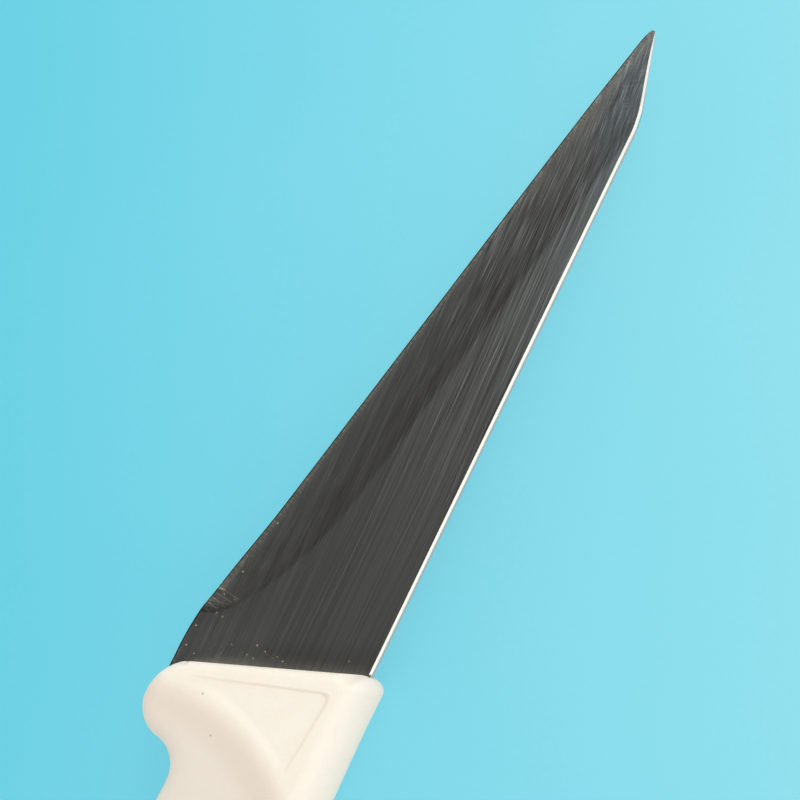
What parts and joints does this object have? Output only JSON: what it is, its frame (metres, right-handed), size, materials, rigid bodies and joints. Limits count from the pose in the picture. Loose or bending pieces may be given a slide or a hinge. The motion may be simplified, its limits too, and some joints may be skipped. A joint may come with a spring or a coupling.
{
  "type": "boning knife",
  "caption": "Boning knife with a stiff tapered clip-point blade and a moulded handle with a finger guard and a recessed triangular panel.",
  "frame": {"origin": "centre of the bounding box in X and Y, at the surface the knife lies on", "axes": "+X along the blade to the point, +Y towards the cutting edge, +Z square to the side of the blade, up from the surface it lies on"},
  "size_m": [0.272, 0.0447, 0.021],
  "materials": {
    "steel": "satin, brushed along the blade",
    "plastic": "satin, moulded, warm white"
  },
  "bodies": {
    "root": {"blade": "steel", "handle": "plastic"}
  },
  "joints": []
}
